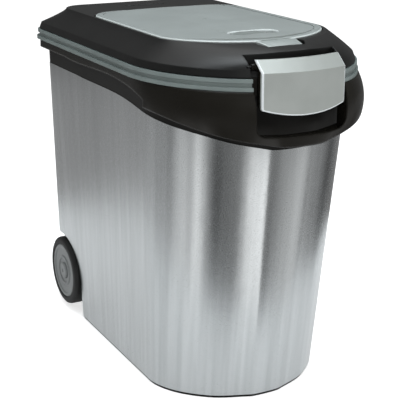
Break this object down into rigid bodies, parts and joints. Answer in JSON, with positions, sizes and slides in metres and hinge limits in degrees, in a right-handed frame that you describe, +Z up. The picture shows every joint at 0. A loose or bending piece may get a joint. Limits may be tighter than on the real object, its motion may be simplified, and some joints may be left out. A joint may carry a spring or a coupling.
{
  "type": "wheeled dry pet food storage container",
  "caption": "Tall tapered food bin with a rounded nose, hinged lid, pour flap, front snap latch, carry loop and two rear wheels.",
  "frame": {"origin": "on the floor, in the middle of the overall box seen from above", "axes": "+X to the right when the latch faces the viewer's side at -Y, +Y to the hinges and wheels, +Z up"},
  "size_m": [0.278, 0.494, 0.4359],
  "materials": {
    "tub_plastic": "fine satin, charcoal black",
    "steel_look_skin": "brushed up and down, soft streaks",
    "charcoal_plastic": "half gloss moulded",
    "grey_band_plastic": "satin moulded",
    "flap_grey_plastic": "satin moulded",
    "latch_silver": "silver satin paint on plastic",
    "hub_grey_plastic": "satin moulded",
    "tyre_black": "dull black",
    "seal_rubber": "soft dull black",
    "axle_steel": "bright drawn steel"
  },
  "bodies": {
    "bin": {"tub": "tub_plastic", "steel_look_sleeve": "steel_look_skin", "collar": "charcoal_plastic", "rim_band": "grey_band_plastic", "axle_rod": "axle_steel", "axle_push_nuts": "axle_steel", "lid_hinge_pins": "axle_steel"},
    "lid": {"lid_shell": "charcoal_plastic", "lid_gasket": "seal_rubber", "flap_seal": "seal_rubber", "latch_pin": "axle_steel", "flap_hinge_pins": "axle_steel"},
    "flap": {"flap_frame": "flap_grey_plastic", "flap_panel": "flap_grey_plastic", "flap_catch": "flap_grey_plastic"},
    "latch": {"latch_cover": "latch_silver", "latch_carrier": "charcoal_plastic"},
    "wheel_left": {"tyre_left": "tyre_black", "wheel_hub_left": "hub_grey_plastic", "hub_cap_left": "hub_grey_plastic"},
    "wheel_right": {"tyre_right": "tyre_black", "wheel_hub_right": "hub_grey_plastic", "hub_cap_right": "hub_grey_plastic"}
  },
  "joints": [
    {"name": "lid_hinge", "type": "hinge", "parent": "bin", "child": "lid", "pos_m": [0, 0.2418, 0.409], "axis": [-1, 0, 0], "range_deg": [0, 100]},
    {"name": "flap_hinge", "type": "hinge", "parent": "lid", "child": "flap", "pos_m": [0, 0.1154, 0.4314], "axis": [-1, 0, 0], "range_deg": [0, 100]},
    {"name": "latch_pivot", "type": "hinge", "parent": "lid", "child": "latch", "pos_m": [0, -0.219, 0.415], "axis": [-1, 0, 0], "range_deg": [0, 50]},
    {"name": "wheel_left_spin", "type": "hinge", "parent": "bin", "child": "wheel_left", "pos_m": [-0.11, 0.197, 0.056], "axis": [1, 0, 0], "continuous": true},
    {"name": "wheel_right_spin", "type": "hinge", "parent": "bin", "child": "wheel_right", "pos_m": [0.11, 0.197, 0.056], "axis": [1, 0, 0], "continuous": true}
  ]
}
